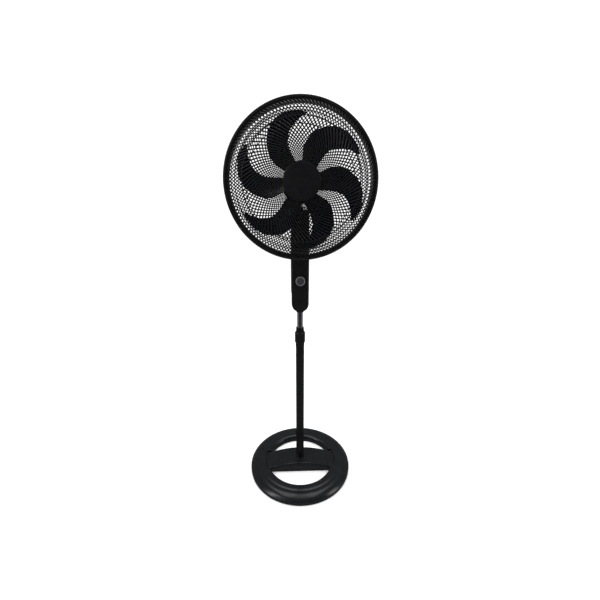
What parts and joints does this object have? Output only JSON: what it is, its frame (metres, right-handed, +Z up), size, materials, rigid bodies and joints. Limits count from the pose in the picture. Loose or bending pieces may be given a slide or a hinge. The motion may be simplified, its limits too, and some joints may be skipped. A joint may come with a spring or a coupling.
{
  "type": "pedestal fan",
  "caption": "Free-standing pedestal fan with a ring base and arched crossbar, telescopic column, control neck, tilting and oscillating guarded head.",
  "frame": {"origin": "on the floor under the column, at the centre of the base", "axes": "+Z up, the fan blows towards -Y, +X to the right seen from the front"},
  "size_m": [0.4599, 0.41, 1.346],
  "materials": {
    "base_gloss": "glossy black moulded plastic",
    "satin_black": "satin black moulded plastic",
    "guard_plastic": "semi-gloss black moulded plastic",
    "cap_plastic": "satin black moulded plastic",
    "blade_plastic": "glossy blue-black moulded plastic",
    "under_plastic": "matt black moulded plastic",
    "cast_iron": "rough cast iron",
    "rubber": "matt rubber",
    "tube_black": "black powder-coated steel tube",
    "chrome": "bright chromed steel tube",
    "zinc": "zinc-plated steel",
    "steel": "bare steel",
    "white_nylon": "natural nylon",
    "switch_body": "matt moulded plastic",
    "knob_grey": "dark grey moulded plastic",
    "cast_aluminium": "die-cast aluminium",
    "copper": "varnished copper wire",
    "bronze": "sintered bronze"
  },
  "bodies": {
    "root": {"base_ring": "base_gloss", "base_weight": "cast_iron", "base_plate": "under_plastic", "base_screws": "zinc", "rubber_feet": "rubber", "crossbar": "base_gloss", "crossbar_screws": "zinc", "outer_tube": "tube_black", "foot_plug": "under_plastic", "column_washer": "zinc", "column_bolt": "zinc", "collet": "satin_black"},
    "collar": {"locking_nut": "satin_black"},
    "stem": {"inner_tube": "chrome", "inner_bushing": "white_nylon", "neck_front_shell": "satin_black", "neck_rear_shell": "satin_black", "neck_screws": "zinc", "stem_socket": "under_plastic", "stem_screw": "zinc", "knob_bezel": "satin_black", "rotary_switch": "switch_body", "switch_nut": "zinc", "run_capacitor": "switch_body", "cord_gland": "rubber", "tilt_bolt": "zinc", "tilt_nut": "zinc"},
    "knob": {"speed_knob": "knob_grey", "switch_shaft": "white_nylon"},
    "tilt": {"tilt_bracket": "under_plastic", "swivel_pin": "steel", "swivel_washer": "white_nylon", "link_pin": "steel"},
    "link": {"osc_link": "steel"},
    "head": {"motor_front_bell": "cast_aluminium", "motor_rear_bell": "cast_aluminium", "stator_core": "steel", "windings": "copper", "front_bearing": "bronze", "rear_bearing": "bronze", "tie_bolts": "zinc", "gearbox_case": "under_plastic", "motor_cover": "satin_black", "cover_screw": "zinc", "rear_guard": "guard_plastic", "guard_nut": "guard_plastic", "guard_ring": "guard_plastic", "front_guard": "guard_plastic", "guard_cap": "cap_plastic"},
    "impeller": {"motor_shaft": "steel", "rotor_core": "steel", "worm": "steel", "impeller": "blade_plastic", "impeller_nut": "guard_plastic"},
    "clutch": {"worm_wheel": "white_nylon"},
    "crank": {"crank_gear": "white_nylon", "crank_arm": "steel"},
    "pull_knob": {"osc_pull_knob": "satin_black", "clutch_rod": "steel"}
  },
  "joints": [
    {"name": "height_slide", "type": "slide", "parent": "root", "child": "stem", "axis": [0, 0, 1], "range_m": [-0.045, 0.3]},
    {"name": "locking_nut_turn", "type": "hinge", "parent": "root", "child": "collar", "pos_m": [0, 0, 0.58], "axis": [0, 0, 1], "range_deg": [0, 120]},
    {"name": "speed_knob_turn", "type": "hinge", "parent": "stem", "child": "knob", "pos_m": [0, -0.04, 0.802], "axis": [0, 1, 0], "range_deg": [0, 135]},
    {"name": "head_tilt", "type": "hinge", "parent": "stem", "child": "tilt", "pos_m": [0, 0, 1.012], "axis": [-1, 0, 0], "range_deg": [-12, 20]},
    {"name": "oscillation", "type": "hinge", "parent": "tilt", "child": "head", "pos_m": [0, 0, 1.05], "axis": [0, 0, 1], "range_deg": [-36, 36]},
    {"name": "link_swing", "type": "hinge", "parent": "tilt", "child": "link", "pos_m": [-0.036, 0.02575, 1.051], "axis": [0, 0, 1], "range_deg": [-62, 3]},
    {"name": "impeller_spin", "type": "hinge", "parent": "head", "child": "impeller", "pos_m": [0, 0, 1.116], "axis": [0, 1, 0], "continuous": true},
    {"name": "worm_wheel_spin", "type": "hinge", "parent": "head", "child": "clutch", "pos_m": [0.017, 0.032, 1.116], "axis": [0, 0, 1], "continuous": true},
    {"name": "crank_spin", "type": "hinge", "parent": "head", "child": "crank", "pos_m": [0, 0.032, 1.08], "axis": [0, 0, 1], "continuous": true},
    {"name": "pull_knob_slide", "type": "slide", "parent": "head", "child": "pull_knob", "axis": [0, 0, 1], "range_m": [0, 0.008]}
  ],
  "couplings": [
    {"joint": "worm_wheel_spin", "follows": "impeller_spin", "ratio": 0.045455},
    {"joint": "crank_spin", "follows": "impeller_spin", "ratio": -0.013986}
  ]
}
